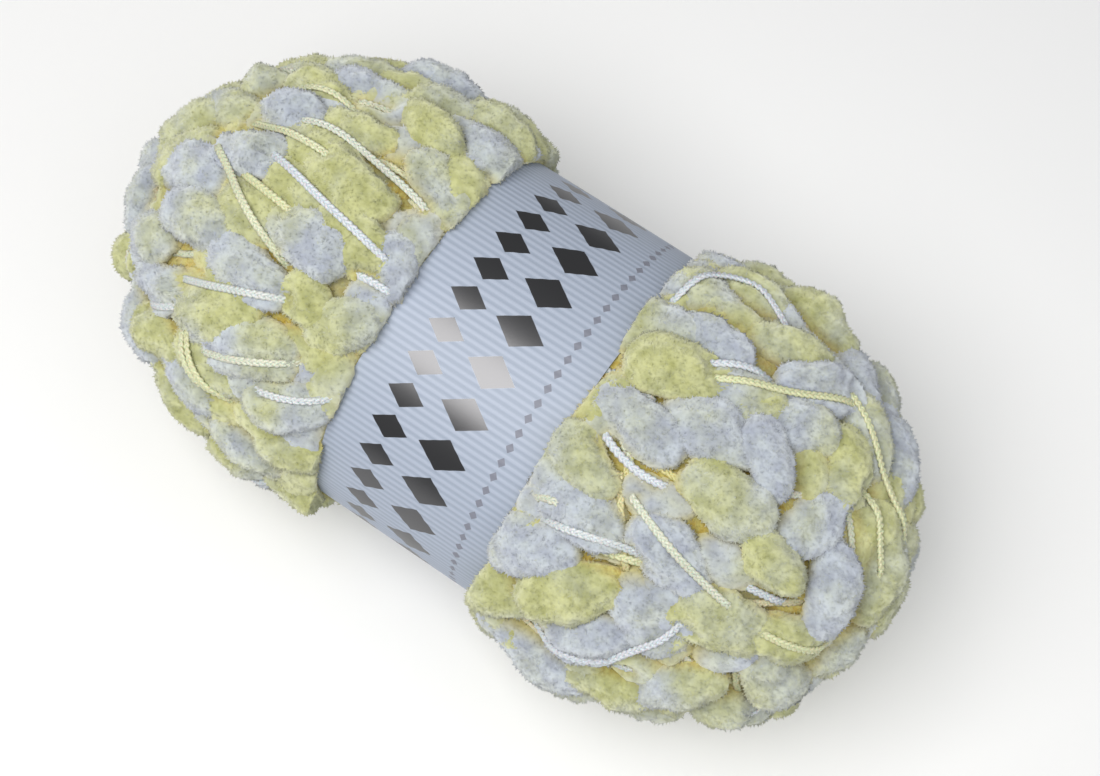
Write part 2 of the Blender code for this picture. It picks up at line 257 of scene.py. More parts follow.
def surface_height(base, outward, bobbles):
    """How far the yarn stands above each base point: the last bobble that a ray meets."""
    half_length, half_width, half_thickness = bobbles[3:]
    centre, up, fore = bobble_frame(*bobbles[:3])
    side = np.cross(up, fore)
    height = np.full(len(base), -VALLEY)
    for index, middle in enumerate(centre):
        axes = np.stack([
            fore[index] / half_length[index],
            side[index] / half_width[index],
            up[index] / half_thickness[index],
        ])
        start, way = (base - middle) @ axes.T, outward @ axes.T
        a, b = (way * way).sum(axis=1), (start * way).sum(axis=1)
        inside = b * b - a * ((start * start).sum(axis=1) - 1.0)
        reached = (-b + np.sqrt(np.maximum(inside, 0.0))) / a
        near = np.linalg.norm(base - middle, axis=1) < 2.5 * half_length[index]
        height = np.where((inside > 0.0) & near, np.maximum(height, reached), height)
    return height


# Noise that depends on place alone
def scatter(cells, seed):
    """A repeatable number from 0 to 1 for each whole-numbered cell."""
    whole = (cells.astype(np.int64) & 0xFFFFFFFF).astype(np.uint32)
    mixed = whole[..., 0] * np.uint32(0x8DA6B343)
    mixed ^= whole[..., 1] * np.uint32(0xD8163841)
    mixed ^= whole[..., 2] * np.uint32(0xCB1AB31F)
    mixed ^= np.uint32((seed * 0x9E3779B1) & 0xFFFFFFFF)
    for shift, factor in ((15, 0x2C1B3C6D), (12, 0x297A2D39)):
        mixed ^= mixed >> np.uint32(shift)
        mixed *= np.uint32(factor)
    mixed ^= mixed >> np.uint32(15)
    return mixed / 4294967296.0


def lumps(points, size, seed):
    """Smooth swelling from -1 to 1, with lumps about one size across."""
    scaled = points / size
    cell = np.floor(scaled)
    part = scaled - cell
    part = part * part * (3.0 - 2.0 * part)
    total = np.zeros(points.shape[:-1])
    for corner in itertools.product((0, 1), repeat=3):
        weight = np.prod(np.where(np.array(corner) == 1, part, 1.0 - part), axis=-1)
        total += weight * scatter(cell + corner, seed)
    return 2.0 * total - 1.0


def tufts(points, size, seed):
    """Domes of pile: 1 on the middle of each tuft, falling to 0 in the creases between them."""
    scaled = points / size
    cell = np.floor(scaled)
    nearest = np.full(points.shape[:-1], 9.0)
    for corner in itertools.product((-1, 0, 1), repeat=3):
        here = cell + corner
        middle = here + 0.1 + 0.8 * np.stack([scatter(here, seed + k) for k in range(3)], axis=-1)
        nearest = np.minimum(nearest, ((scaled - middle) ** 2).sum(axis=-1))
    return np.clip(1.0 - nearest / 0.8, 0.0, 1.0)


# Where the ball's axis lies in the row's frame: the band is built round that axis
band_low, band_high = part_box("band")
BALL_MIDDLE = np.array([
    (band_low.x + band_high.x) / 2.0 / MM, (band_low.y + band_high.y) / 2.0 / MM, AXIS_HEIGHT,
])


def to_row(points):
    """From millimetres in the ball's frame to metres in the row's frame."""
    return (points + BALL_MIDDLE) * MM


def off_axis(points):
    return np.hypot(points[:, 1], points[:, 2] / FLATNESS)


def banded(points):
    return np.abs(points[:, 0]) < BAND_EDGE + 0.8


def inside_band(points, snug, rise):
    """The band squeezes the yarn inside it, and the yarn swells out past each edge."""
    across = off_axis(points)
    beyond = np.clip(np.abs(points[:, 0]) - BAND_EDGE - 0.3, 0.0, None)
    allowed = np.minimum(across, snug + rise * beyond)
    scale = (allowed / np.maximum(across, 1e-6))[:, None]
    return points * np.where([True, False, False], 1.0, scale)


def beside_band(points, lean):
    """Soft bobbles at the band's edges tuck under the paper and lean a little over it."""
    side, across = np.where(points[:, 0] < 0.0, -1.0, 1.0), off_axis(points)
    wanted = np.where(across > BAND_RADIUS + 0.9, BAND_EDGE - lean, BAND_EDGE + 0.35)
    covered = (across > BAND_RADIUS - 1.3) & (np.abs(points[:, 0]) < wanted)
    points[:, 0] = np.where(covered, side * wanted, points[:, 0])
    return points


def put_in_scene(name, data):
    made = bpy.data.objects.new(name, data)
    bpy.context.scene.collection.objects.link(made)
    return made


class Heap:
    """Gathers the points, faces and tones of many small shapes for one mesh."""

    def __init__(self):
        self.points, self.faces, self.tones, self.normals, self.count = [], [], [], [], 0

    def add(self, points, faces, tones, normals=None):
        self.points.append(points)
        self.faces.append(faces + self.count)
        self.tones.append(tones)
        self.count += len(points)
        if normals is not None:
            self.normals.append(normals)

    def piece(self, name, finish):
        """One smooth mesh object. Its tone attribute holds yellow, pile and depth; the materials paint
        shade and bounce light from pile and depth.
        """
        points = to_row(np.concatenate(self.points))
        faces = np.concatenate(self.faces)
        tones = np.concatenate(self.tones)
        mesh = bpy.data.meshes.new(name)
        mesh.vertices.add(len(points))
        mesh.vertices.foreach_set("co", points.astype(np.float32).ravel())
        mesh.loops.add(faces.size)
        mesh.loops.foreach_set("vertex_index", faces.astype(np.int32).ravel())
        mesh.polygons.add(len(faces))
        mesh.polygons.foreach_set("loop_start", np.arange(0, faces.size, faces.shape[1], dtype=np.int32))
        mesh.update(calc_edges=True)
        attribute = mesh.color_attributes.new("tone", "FLOAT_COLOR", "POINT")
        colours = np.concatenate([tones, np.ones((len(tones), 1))], axis=1)
        attribute.data.foreach_set("color", colours.astype(np.float32).ravel())
        mesh.materials.append(finish)
        mesh.shade_smooth()
        if self.normals:
            mesh.normals_split_custom_set_from_vertices(np.concatenate(self.normals).astype(np.float32))
        return put_in_scene(name, mesh)


def halved(a, b, c, d):
    """Two triangles in each four-sided place, whose corners are given in turn."""
    halves = (a, b, c), (a, c, d)
    return np.concatenate([np.stack(corners, axis=-1).reshape(-1, 3) for corners in halves])


def grid_faces(rows, columns, closed=True):
    """Triangles between the rows of points of a tube or a sheet."""
    row = np.arange(rows - 1)[:, None] * columns
    column = np.arange(columns if closed else columns - 1)[None]
    beside = (column + 1) % columns
    return halved(row + column, row + beside, row + columns + beside, row + columns + column)


def capped_faces(rows, columns):
    """Triangles of a tube that closes at each end on a tip. The two tips come after its rows."""
    count, turn = rows * columns, np.arange(columns)
    beside = (turn + 1) % columns
    first = np.stack([np.full(columns, count), beside, turn], axis=1)
    end = count - columns
    last = np.stack([np.full(columns, count + 1), end + turn, end + beside], axis=1)
    return np.concatenate([grid_faces(rows, columns), first, last])


# Bobbles
RINGS_PER_MM = 3.1
COLUMNS_PER_MM = 3.6
LID = math.radians(100.0)  # how far round each side of a bobble its fine mesh reaches
FULLNESS = 0.82  # an ellipsoid has 1, and a lower number gives fuller ends
SWELL, DENTS = 1.4, 0.6
COARSE_PILE, FINE_PILE, PILE_SUNK = 1.0, 0.35, 0.75
END_STRETCH = 1.02
NEIGHBOURS = 27.0  # bobbles nearer than this may touch
CREASE_FILL = 0.8  # reach of the swelling beside a crease
TUFTS_PER_MM2 = 1.56
BELOW_TUFTS, WINDING_TUFTS = 0.4, 1.8  # how dense they are deeper down, beside the outer layer
TUFT_LENGTH, TUFT_WIDTH, TUFT_ROOT = (0.45, 1.15), (0.26, 0.44), 0.3
TUFT_LEAN = 0.45  # how far tufts lean off the surface's normal, at random


def shape_bobble(size, chance, fine):
    """Points of one bobble before it is laid: a plump pillow, a little bent and uneven. Most of
    its columns are on the outward side."""
    half_length, half_width, half_thickness = size
    rings = int(half_length * RINGS_PER_MM * fine)
    upper = int(half_width * COLUMNS_PER_MM * fine)
    lengthwise = np.linspace(-math.pi / 2.0, math.pi / 2.0, rings + 2)[1:-1]
    top = np.linspace(-LID, LID, upper + 1)
    bottom = np.linspace(LID, 2.0 * math.pi - LID, max(5, upper // 4) + 1)[1:-1]
    around = np.concatenate([top, bottom])
    along = np.sin(lengthwise)
    taper, bend = chance.uniform(-0.14, 0.14), chance.gauss(0.0, 1.1)
    thick = np.cos(lengthwise) ** FULLNESS * (1.0 + taper * along)
    x = np.repeat(along * half_length * END_STRETCH, len(around))
    y = np.outer(thick, np.sin(around)).ravel() * half_width
    z = np.outer(thick, np.cos(around)).ravel() * half_thickness
    y = y + bend * (np.repeat(along, len(around)) ** 2 - 0.4)
    tips = [[end * half_length * END_STRETCH, bend * 0.6, 0.0] for end in (-1.0, 1.0)]
    points = np.concatenate([np.stack([x, y, z], axis=1), tips])
    return points, capped_faces(rings, len(around))[:, ::-1]


def blend_tone(share, start, end):
    """How yellow a place is, with the dye running on from one end of a bobble to the other."""
    ease = np.clip(share * 1.5 + 0.5, 0.0, 1.0)
    ease = ease * ease * (3.0 - 2.0 * ease)
    return start + (end - start) * ease


def bobble_tones(count, chance, placed):
    """Yellow shares of both ends of every bobble: the placed ones', then dyed runs."""
    tones = [row[4:6] for row in placed]
    while len(tones) < count:
        start = chance.choice((0.0, 0.1, 0.6, 0.7, 0.8, 0.9, 1.0))
        end = start if chance.random() < 0.62 else chance.choice((0.1, 0.4, 0.7, 0.9, 1.0))
        tones.append((start, end))
    return tones


STANDING_OUT = (0, 1, 6, 11, 33, 35, 44, 51, 52)  # bobbles that lie on top of their neighbours
# Bobbles drawn in by the band's edge or by the turns at the right end: how high they lie
SUNK = {67: -1.6, 126: -3.6, 156: -2.8, 170: -1.6, 181: -1.8}
# How high the bobbles lie: the middle and spread of the placed and the other ones, the height of
# those that stand out, and the range of the layer below
PLACED_HEIGHT, FILL_HEIGHT, TOP_HEIGHT, BELOW_HEIGHT = (1.2, 0.6), (-0.4, 1.1), 2.6, (-2.8, -1.7)

# Bobbles whose dye follows the photograph, by their place in the layout: how yellow each end is
SEEN_TONES = {
    6: (0.0, 0.4), 11: (0.5, 0.0), 92: (0.7, 0.8), 118: (0.5, 0.7), 126: (0.1, 0.0),
    134: (0.1, 0.2), 136: (0.4, 0.4), 138: (0.2, 0.3), 143: (0.9, 0.7), 145: (0.8, 0.8),
    153: (0.5, 0.5), 156: (0.1, 0.2), 161: (0.3, 0.6), 169: (0.8, 0.7), 170: (0.2, 0.4),
    172: (1.0, 0.9), 178: (0.8, 0.7), 183: (0.5, 0.3), 187: (0.8, 0.9), 191: (0.9, 0.8),
    193: (0.5, 0.4),
}


def plump(layout):
    """The bobbles fill out a little past their plain forms, so that they press together, and
    those that lie on top stay a little smaller."""
    run, around, heading, half_length, half_width, half_thickness = layout
    full, spare, thicker = 1.02, 0.93, 1.08
    fuller = np.full(len(run), full)
    fuller[list(STANDING_OUT)] = spare
    return run, around, heading, half_length * fuller, half_width * fuller, half_thickness * thicker


# Bobbles of the next layer down that show between the outer ones on the seen side
PLACED_BELOW = (
    # along_mm, around_deg, heading_deg, length_mm, yellow_start, yellow_end
    (-105, 36, 46, 20, 0.8, 0.8), (-53, -22, -28, 20, 0.1, 0.1), (-44, 40, -13, 21, 0.9, 0.8),
    (-35, 42, -41, 20, 0, 0.2), (-31, -12, 80, 20, 0.4, 0.5), (-35, -2, -7, 20, 0, 0),
    (-31, 77, 8, 20, 0.8, 0.9), (-53, 56, -13, 22, 0, 0.3), (-76, 34, 10, 21, 0.9, 0.9),
    (85, -6, 48, 21, 0.9, 0.8), (57, 21, -13, 20, 0, 0), (80, 26, 4, 20, 0.1, 0.4),
    (70, 43, -7, 22, 0.1, 0.1), (110, -25, 24, 21, 0.4, 0.3), (115, 50, -53, 20, 0.3, 0.5),
    (33, -10, 5, 20, 0.5, 0.4), (34, 11, -84, 20, 0.2, 0.3), (35, 38, -7, 20, 0, 0.2),
    (50, 34, 20, 20, 0, 0.1), (63, -12, -30, 22, 0.8, 0.9), (76, 55, 30, 21, 0.9, 0.8),
)


def lay_infill(layout):
    """Bobbles of the next layer down, which show in the gaps of the outer one."""
    chance = random.Random(23)
    above = len(layout[0])
    rows = [(run, around) for run, around in zip(layout[0], layout[1])]
    rows += [(float(run_at(row[0])), math.radians(row[1])) for row in PLACED_BELOW]
    spread = open_spread(2.0)
    while len(rows) < above + INFILL_BOBBLES:
        rows.append(emptiest_spot(rows, spread, chance))
    run, around = (np.array(column) for column in zip(*rows[above:]))
    heading = np.array([winding_heading(float(along_at(where)), chance) for where in run])
    half_length = np.array([chance.uniform(9.0, 11.5) for _ in run])
    for index, row in enumerate(PLACED_BELOW):
        heading[index], half_length[index] = math.radians(row[2]), row[3] / 2.0
    # a snug ring of yarn beside each edge of the band
    ring = np.arange(2 * EDGE_RING)
    turned = (ring // 2 + 0.3 * (ring % 2)) * 2.0 * math.pi / EDGE_RING
    edge = np.where(ring % 2 == 0, -1.0, 1.0) * (BAND_EDGE + 4.6)
    run, around = np.concatenate([run, run_at(edge)]), np.concatenate([around, turned])
    heading = np.concatenate([heading, [math.pi / 2.0 + chance.gauss(0.0, 0.25) for _ in ring]])
    half_length = np.concatenate([half_length, [chance.uniform(10.0, 12.0) for _ in ring]])
    return run, around, heading, half_length, half_length * 0.6, half_length * 0.53


class Laid:
    """The bobbles of both layers as they are laid: middles, directions and half sizes."""

    def __init__(self, middles, frames, sizes):
        self.middles, self.frames, self.sizes = middles, frames, sizes

    def near(self, index):
        close = np.linalg.norm(self.middles - self.middles[index], axis=1) < NEIGHBOURS
        close[index] = False
        return np.flatnonzero(close)

    def scaled(self, points, other):
        """Points in a bobble's own directions, in which its plain surface is a unit sphere."""
        return (points - self.middles[other]) @ self.frames[other].T / self.sizes[other]


def filled_creases(points, index, laid):
    """How far the pile swells out where this bobble and its neighbours press together."""
    crowd = np.zeros(len(points))
    for other in laid.near(index):
        depth = (np.linalg.norm(laid.scaled(points, other), axis=1) - 1.0) * laid.sizes[other][2]
        crowd += np.exp(-np.clip(depth, -1.0, 20.0) / CREASE_FILL)
    return np.minimum(CREASE_FILL * np.log1p(crowd), 1.0)


def press_grooves(points, up, cords):
    """Soft pile gives way under a taut cord, so each cord lies in a valley."""
    reach, breadth, bottom = 6.0, 5.0, 0.8
    for place, point in enumerate(points):
        spot, _, away = cords.find(point)
        if away > reach:
            continue
        height = float((point - np.array(spot)) @ up)
        aside = math.sqrt(max(0.0, away * away - height * height))
        allowed = 0.6 * max(0.0, aside - bottom) ** 1.2 - bottom
        if aside < breadth and height > allowed:
            points[place] = point - up * (height - allowed)
    return points


def face_areas(points, faces):
    """A vector square to each triangle, as long as twice its area."""
    corners = points[faces]
    return np.cross(corners[:, 1] - corners[:, 0], corners[:, 2] - corners[:, 0])


def surface_normals(points, faces):
    """Smooth outward directions at each point of a closed shape."""
    across, total = face_areas(points, faces), np.zeros_like(points)
    for corner in range(3):
        np.add.at(total, faces[:, corner], across)
    return normalise(total)


def grow_tufts(points, faces, normals, tone, up, density, hidden, cords, chance):
    """Short pointed tufts of pile that stand out of a bobble, closed and a little uneven."""
    across = face_areas(points, faces)
    area = 0.5 * np.linalg.norm(across, axis=1)
    weight = area if up is None else area * (across @ up > -0.6 * area)
    count = int(weight.sum() * density)
    picked = chance.choice(len(faces), count, p=weight / weight.sum())
    shares = chance.dirichlet((1.0, 1.0, 1.0), count)[:, :, None]
    root, away, colour = (
        (shares * value[faces[picked]]).sum(axis=1) for value in (points, normals, tone)
    )
    keep = ~hidden(root)
    for place in np.flatnonzero(keep):
        keep[place] = cords.find(root[place])[2] > 1.0
    root, away, colour = root[keep], normalise(away[keep]), colour[keep]
    count = len(root)
    lean = normalise(away + chance.normal(0.0, TUFT_LEAN, (count, 3)))
    side = normalise(np.cross(lean, chance.normal(0.0, 1.0, (count, 3))))
    other = np.cross(lean, side)
    length = chance.uniform(*TUFT_LENGTH, (count, 1))
    width = chance.uniform(*TUFT_WIDTH, (count, 1))
    foot = [
        root - TUFT_ROOT * lean + width * (math.cos(turn) * side + math.sin(turn) * other)
        for turn in (0.0, 2.0 * math.pi / 3.0, 4.0 * math.pi / 3.0)
    ]
    spikes = np.stack([*foot, root + lean * length], axis=1).reshape(-1, 3)
    first = np.arange(count)[:, None, None] * 4
    sides = np.array([[0, 1, 3], [1, 2, 3], [2, 0, 3], [0, 2, 1]])
    shown = np.repeat(colour, 4, axis=0)
    shown[:, 0] += np.repeat(chance.normal(0.0, 0.08, count), 4)
    # Pile value low at a tuft's three feet and high at its tip: the pile material paints shade at the feet.
    shown[:, 1] = np.tile([0.4, 0.4, 0.4, 0.9], count) + np.repeat(chance.uniform(-0.1, 0.1, count), 4)
    soft = normalise(np.repeat(away + 0.35 * lean, 4, axis=0))
    return spikes, (first + sides).reshape(-1, 3), shown, soft


def make_bobble(index, laid, chance, fine, cords):
    """One soft bobble: its points, faces, share of the way along, and its pile value, high on the tufts and
    low in the creases between them, where the pile material paints shade.
    """
    size, frame_axes, droop = laid.sizes[index], laid.frames[index], 130.0
    local, faces = shape_bobble(size, chance, fine)
    normal = normalise(local / size ** 2) @ frame_axes
    # the ends dip, because the yarn follows the ball's own curve
    dipped = local - np.outer(local[:, 0] ** 2 / droop, (0.0, 0.0, 1.0))
    points = laid.middles[index] + dipped @ frame_axes
    own = points + np.array([index * 7.31, index * 3.7, index * 5.1])  # no two are dented alike
    swell = SWELL * lumps(own, 9.0, 1) + DENTS * lumps(own, 4.2, 2)
    points = points + normal * (swell + filled_creases(points, index, laid))[:, None]
    points = press_grooves(points, frame_axes[2], cords)
    coarse, small = tufts(own, 3.4, 3), tufts(own, 1.9, 7)
    points = points + normal * (COARSE_PILE * coarse + FINE_PILE * small - PILE_SUNK)[:, None]
    points = beside_band(points, 1.1 + 0.5 * small)
    points[:, 2] = np.maximum(points[:, 2], 0.25 - AXIS_HEIGHT + 0.3 * small)
    return points, faces, local[:, 0] / size[0], 0.6 * coarse + 0.4 * small


def make_bobbles(layout, infill, cords, finish):
    """Both layers of bobbles, as one piece for each stretch of the ball."""
    chance = random.Random(5)
    names = ("left_outer", "left_inner", "right_inner", "right_outer", "infill")
    heaps = {name: Heap() for name in names}
    count = len(layout[0])
    tones = bobble_tones(count, chance, PLACED)
    for index, ends in SEEN_TONES.items():
        tones[index] = ends
    tones += bobble_tones(len(infill[0]), chance, PLACED_BELOW)
    joined = [np.concatenate(pair) for pair in zip(layout, infill)]
    centre, up, fore = bobble_frame(*joined[:3])
    lift = [
        chance.gauss(*(PLACED_HEIGHT if index < len(PLACED) else FILL_HEIGHT)) for index in range(count)
    ]
    for index in STANDING_OUT:
        lift[index] = TOP_HEIGHT
    for index, height in SUNK.items():
        lift[index] = height
    lift += [chance.uniform(*BELOW_HEIGHT) for _ in infill[0]]
    frames = np.stack([fore, np.cross(up, fore), up], axis=1)
    laid = Laid(centre + up * np.array(lift)[:, None], frames, np.stack(joined[3:], axis=1))
    pick = np.random.default_rng(3)
    for index, middle in enumerate(centre):
        under = index >= count
        seen = 1.0 if up[index][2] > -0.25 else 0.6  # what lies below is coarser
        fine = seen * (0.55 if under else 0.74)
        points, faces, share, pile = make_bobble(index, laid, chance, fine, cords)
        yellow = blend_tone(share, *tones[index])
        yellow = yellow + (0.0 if middle[0] > 0.0 else 0.08) + 0.3 * lumps(points, 7.0, 12)
        # Depth channel: height above the bobble's middle; where it is low, the pile material paints golden
        # shade and bounce light.
        height = (points - middle) @ up[index] / 12.0 + 0.5
        tone = np.stack([np.clip(yellow, 0.0, 1.0), pile, np.clip(height, 0.0, 1.0)], axis=1)
        normals = surface_normals(points, faces)
        side = "left_" if middle[0] < 0.0 else "right_"
        name = side + ("outer" if abs(middle[0]) > 72.0 else "inner")
        heap = heaps["infill" if under else name]
        heap.add(points, faces, tone, normals)

        def hidden(places, index=index, middle=middle):
            """Places inside another bobble, under the band's paper or deep in the winding."""
            inside = (off_axis(places) < BAND_RADIUS) & banded(places)
            inside |= (places - middle) @ up[index] < -1.5
            for other in laid.near(index):
                inside |= (laid.scaled(places, other) ** 2).sum(axis=1) < 1.0
            return inside

        density = TUFTS_PER_MM2 * seen ** 2 * (BELOW_TUFTS if under else 1.0)
        heap.add(*grow_tufts(points, faces, normals, tone, up[index], density, hidden, cords, pick))
    pieces = [heap.piece("bobbles_" + name, finish) for name, heap in heaps.items()]
    return pieces + [make_winding(laid, cords, finish)]


def make_winding(laid, cords, finish):
    """The deeper turns, seen in the crevices between the outer bobbles."""
    rows, columns = 100, 120
    run = np.repeat(np.linspace(0.6, RUN_LENGTH - 0.6, rows), columns)
    around = np.tile(np.arange(columns) * 2.0 * math.pi / columns, rows)
    base, outward, _, _ = bed_frame(run, around)
    beside_waist = np.abs(base[:, 0:1]) < BAND_EDGE + 14.0
    outward = np.where(beside_waist, normalise(base * (0.0, 1.0, 1.0)), outward)
    height = -3.1 + 1.8 * tufts(base, 13.0, 31) + 1.6 * tufts(base, 6.0, 35) + 1.0 * lumps(base, 4.0, 32)
    points = inside_band(base + outward * height[:, None], BAND_RADIUS - 1.6, 2.0)
    points[:, 2] = np.maximum(points[:, 2], 1.2 - AXIS_HEIGHT)
    tips = np.array([points[:columns].mean(axis=0), points[-columns:].mean(axis=0)])
    points, faces = np.concatenate([points, tips]), capped_faces(rows, columns)
    yellow = np.clip(0.8 + 0.5 * lumps(points, 7.0, 34), 0.0, 1.0)
    # Low depth everywhere brings in the pile material's painted golden shade and bounce light, and the pile
    # value of 0.3 a little painted crease shade.
    depth = np.clip(0.4 + 0.35 * lumps(points, 5.0, 36), 0.0, 1.0)
    tone = np.stack([yellow, np.full(len(points), 0.3), depth], axis=1)
    normals = surface_normals(points, faces)

    def hidden(places):
        """Places that a bobble or the band hides."""
        inside = banded(places)
        for other in range(len(laid.middles)):
            square = laid.scaled(places, other) ** 2
            inside |= square.sum(axis=1) < 1.0
            inside |= (square[:, :2].sum(axis=1) < 0.8) & (square[:, 2] < 9.0)
        return inside

    heap = Heap()
    heap.add(points, faces, tone, normals)
    density, chance = WINDING_TUFTS * TUFTS_PER_MM2, np.random.default_rng(6)
    heap.add(*grow_tufts(points, faces, normals, tone, None, density, hidden, cords, chance))
    return heap.piece("inner_winding", finish)


# The cord between the bobbles
SEEN_CORDS = (
    # yellow share, then the points that the cord passes: along_mm, around_deg
    (0.0, (-76, 1), (-54, 6), (-35, 9)),
    (0.4, (-73, -12), (-51, -11), (-33, -8)),
    (0.8, (-93, -9), (-80, -6), (-67, -5)),
    (0.7, (-88, 8), (-73, 16), (-58, 23)),
    (0.2, (-84, 46), (-66, 36), (-48, 29)),
    (0.1, (-92, 65), (-80, 53)),
    (0.5, (-67, 56), (-55, 49), (-45, 44)),
    (0.9, (-69, 57), (-54, 66)),
    (0.8, (-69, 60), (-56, 69)),
    (0.1, (-39, 51), (-29, 47)),
    (0.0, (34, -31), (40, -41), (49, -43), (62, -36)),
    (0.5, (34, -25), (47, -27), (53, -27)),
    (0.0, (50, -13), (66, -22)),
    (0.9, (53, -10), (71, -21), (84, -36)),
    (0.0, (35, 14), (47, 18), (59, 17)),
    (0.5, (48, 23), (63, 28), (86, 36)),
    (0.1, (33, 42), (49, 36), (63, 35)),
    (0.9, (87, -31), (97, -26), (106, -25)),
    (0.9, (98, -16), (105, -9), (111, 2)),
    (0.6, (95, -10), (101, -3), (106, 7)),
    (0.0, (84, 29), (97, 29)),
    (0.9, (100, 40), (112, 42)),
    (0.0, (60, 76), (69, 60), (77, 46)),
    (0.0, (51, 71), (59, 68), (67, 64)),
    (0.1, (64, 70), (76, 71)),
    (0.5, (32, 37), (35, 35), (40, 34)),
    (0.9, (48, 40), (56, 38), (64, 36)),
    (0.0, (-42, 16), (-36, 15), (-30, 15)),
    (0.8, (-88, -23), (-71, -24)),
    (0.6, (-74, -29), (-59, -30)),
    (0.9, (-82, 9), (-66, 11)),
)
CORD_WIDTH = 2.35
CORD_STEP = 0.8
PLAIT_PITCH = 5.1
STRAND_SIDES = 5
STRAND_SWING, STRAND_RISE, STRAND_RADIUS = 0.30, 0.13, 0.235  # as shares of the cord's width
STRAND_FLATNESS = 0.85
ON_TOP, PRESSED_IN = -0.2, 1.0  # how deep a cord lies in the bobbles that it crosses
DEEP_CORDS = 140
DEEP_SPACING = 6.5
FRONT = math.radians(55.0)  # the photograph shows every cord this far round the right side
TUCK_POINTS = 8  # the ends of each cord slip this far under the bobbles they meet
TUCK_DEPTH = 3.4


def cord_path(run, around, layout, press):
    """A taut cord over the bobbles: it presses into what it crosses and bridges the gaps."""
    base, outward, _, _ = bed_frame(run, around)
    surface = np.maximum(surface_height(base, outward, layout), 1.2) - press
    tuck = np.linspace(TUCK_DEPTH, 0.0, TUCK_POINTS)
    surface[:TUCK_POINTS] = surface[TUCK_POINTS] - tuck
    surface[-TUCK_POINTS:] = surface[-TUCK_POINTS - 1] - tuck[::-1]
    spacing = np.linalg.norm(np.diff(base, axis=0), axis=1).mean()
    height = surface.copy()
    for _ in range(160):
        middle = 0.5 * (height[:-2] + height[2:]) - spacing * spacing / 110.0
        height[1:-1] = np.maximum(surface[1:-1], middle)
    for _ in range(3):
        height[1:-1] = 0.25 * height[:-2] + 0.5 * height[1:-1] + 0.25 * height[2:]
    points = base + outward * height[:, None]
    return inside_band(points, BAND_RADIUS - 1.0, 3.0), outward


def into_crevice(run, around, layout):
    """Carries a cord's end on, or draws it back, to the lowest place near it, and then under."""
    ahead_run, ahead_around = run[-1] - run[-6], around[-1] - around[-6]
    reach = max(1e-3, np.hypot(ahead_run, ahead_around * 50.0))
    steps = np.arange(-4.0, 14.0, CORD_STEP) / reach
    near_run = np.clip(run[-1] + ahead_run * steps, 1.0, RUN_LENGTH - 1.0)
    near_around = around[-1] + ahead_around * steps
    base, outward, _, _ = bed_frame(near_run, near_around)
    lowest = surface_height(base, outward, layout)[:-TUCK_POINTS].argmin()
    best = steps[lowest] + TUCK_POINTS * CORD_STEP / reach
    keep = len(run) if best >= 0.0 else max(10, len(run) + int(round(best * reach / CORD_STEP)))
    more = (steps > 0.0) & (steps <= best)
    return np.concatenate([run[:keep], near_run[more]]), np.concatenate([around[:keep], near_around[more]])


def spread_points(run, around, step):
    """Points along a smooth line through a cord's own points, one every step."""
    where = np.linspace(0.0, 1.0, len(run))
    fine = np.linspace(0.0, 1.0, 200)
    if len(run) == 2:
        smooth_run, smooth_around = np.interp(fine, where, run), np.interp(fine, where, around)
    else:
        smooth_run, smooth_around = (
            np.polyval(np.polyfit(where, values, len(run) - 1), fine) for values in (run, around)
        )
    aside = np.diff(smooth_around) * radius_at(smooth_run)[1:]
    length = running_total(np.hypot(np.diff(smooth_run), aside))
    stops = np.linspace(0.0, length[-1], max(8, int(length[-1] / step)))
    return np.interp(stops, length, smooth_run), np.interp(stops, length, smooth_around)


def plait(heap, points, up, yellow, phase, depth):
    """Three strands that cross over one another, as in a flat braided cord."""
    ahead = normalise(np.gradient(points, axis=0))
    side = normalise(np.cross(up, ahead))
    up = np.cross(ahead, side)
    gone = running_total(np.linalg.norm(np.diff(points, axis=0), axis=1))
    turn = 2.0 * math.pi * gone / PLAIT_PITCH + phase
    angle = np.arange(STRAND_SIDES) * 2.0 * math.pi / STRAND_SIDES
    cos, sin = np.cos(angle)[None, :, None], np.sin(angle)[None, :, None]
    for strand in range(3):
        place = turn + strand * 2.0 * math.pi / 3.0
        across = STRAND_SWING * CORD_WIDTH * np.sin(place)
        above = STRAND_RISE * CORD_WIDTH * np.sin(2.0 * place)
        middle = points + side * across[:, None] + up * above[:, None]
        way = normalise(np.gradient(middle, axis=0))
        out = normalise(np.cross(np.cross(way, up), way))
        ring = cos * out[:, None] * STRAND_FLATNESS + sin * np.cross(out, way)[:, None]
        ring = ring * (STRAND_RADIUS * CORD_WIDTH)
        skin = (middle[:, None] + ring).reshape(-1, 3)
        shine = np.repeat(0.5 + 0.5 * np.sin(2.0 * place), STRAND_SIDES)
        total = len(skin) + 2
        tone = np.stack([
            np.full(total, yellow), np.concatenate([shine, [0.5, 0.5]]), np.full(total, depth),
        ], axis=1)
        faces = capped_faces(len(points), STRAND_SIDES)[:, ::-1]
        heap.add(np.concatenate([skin, [middle[0], middle[-1]]]), faces, tone)


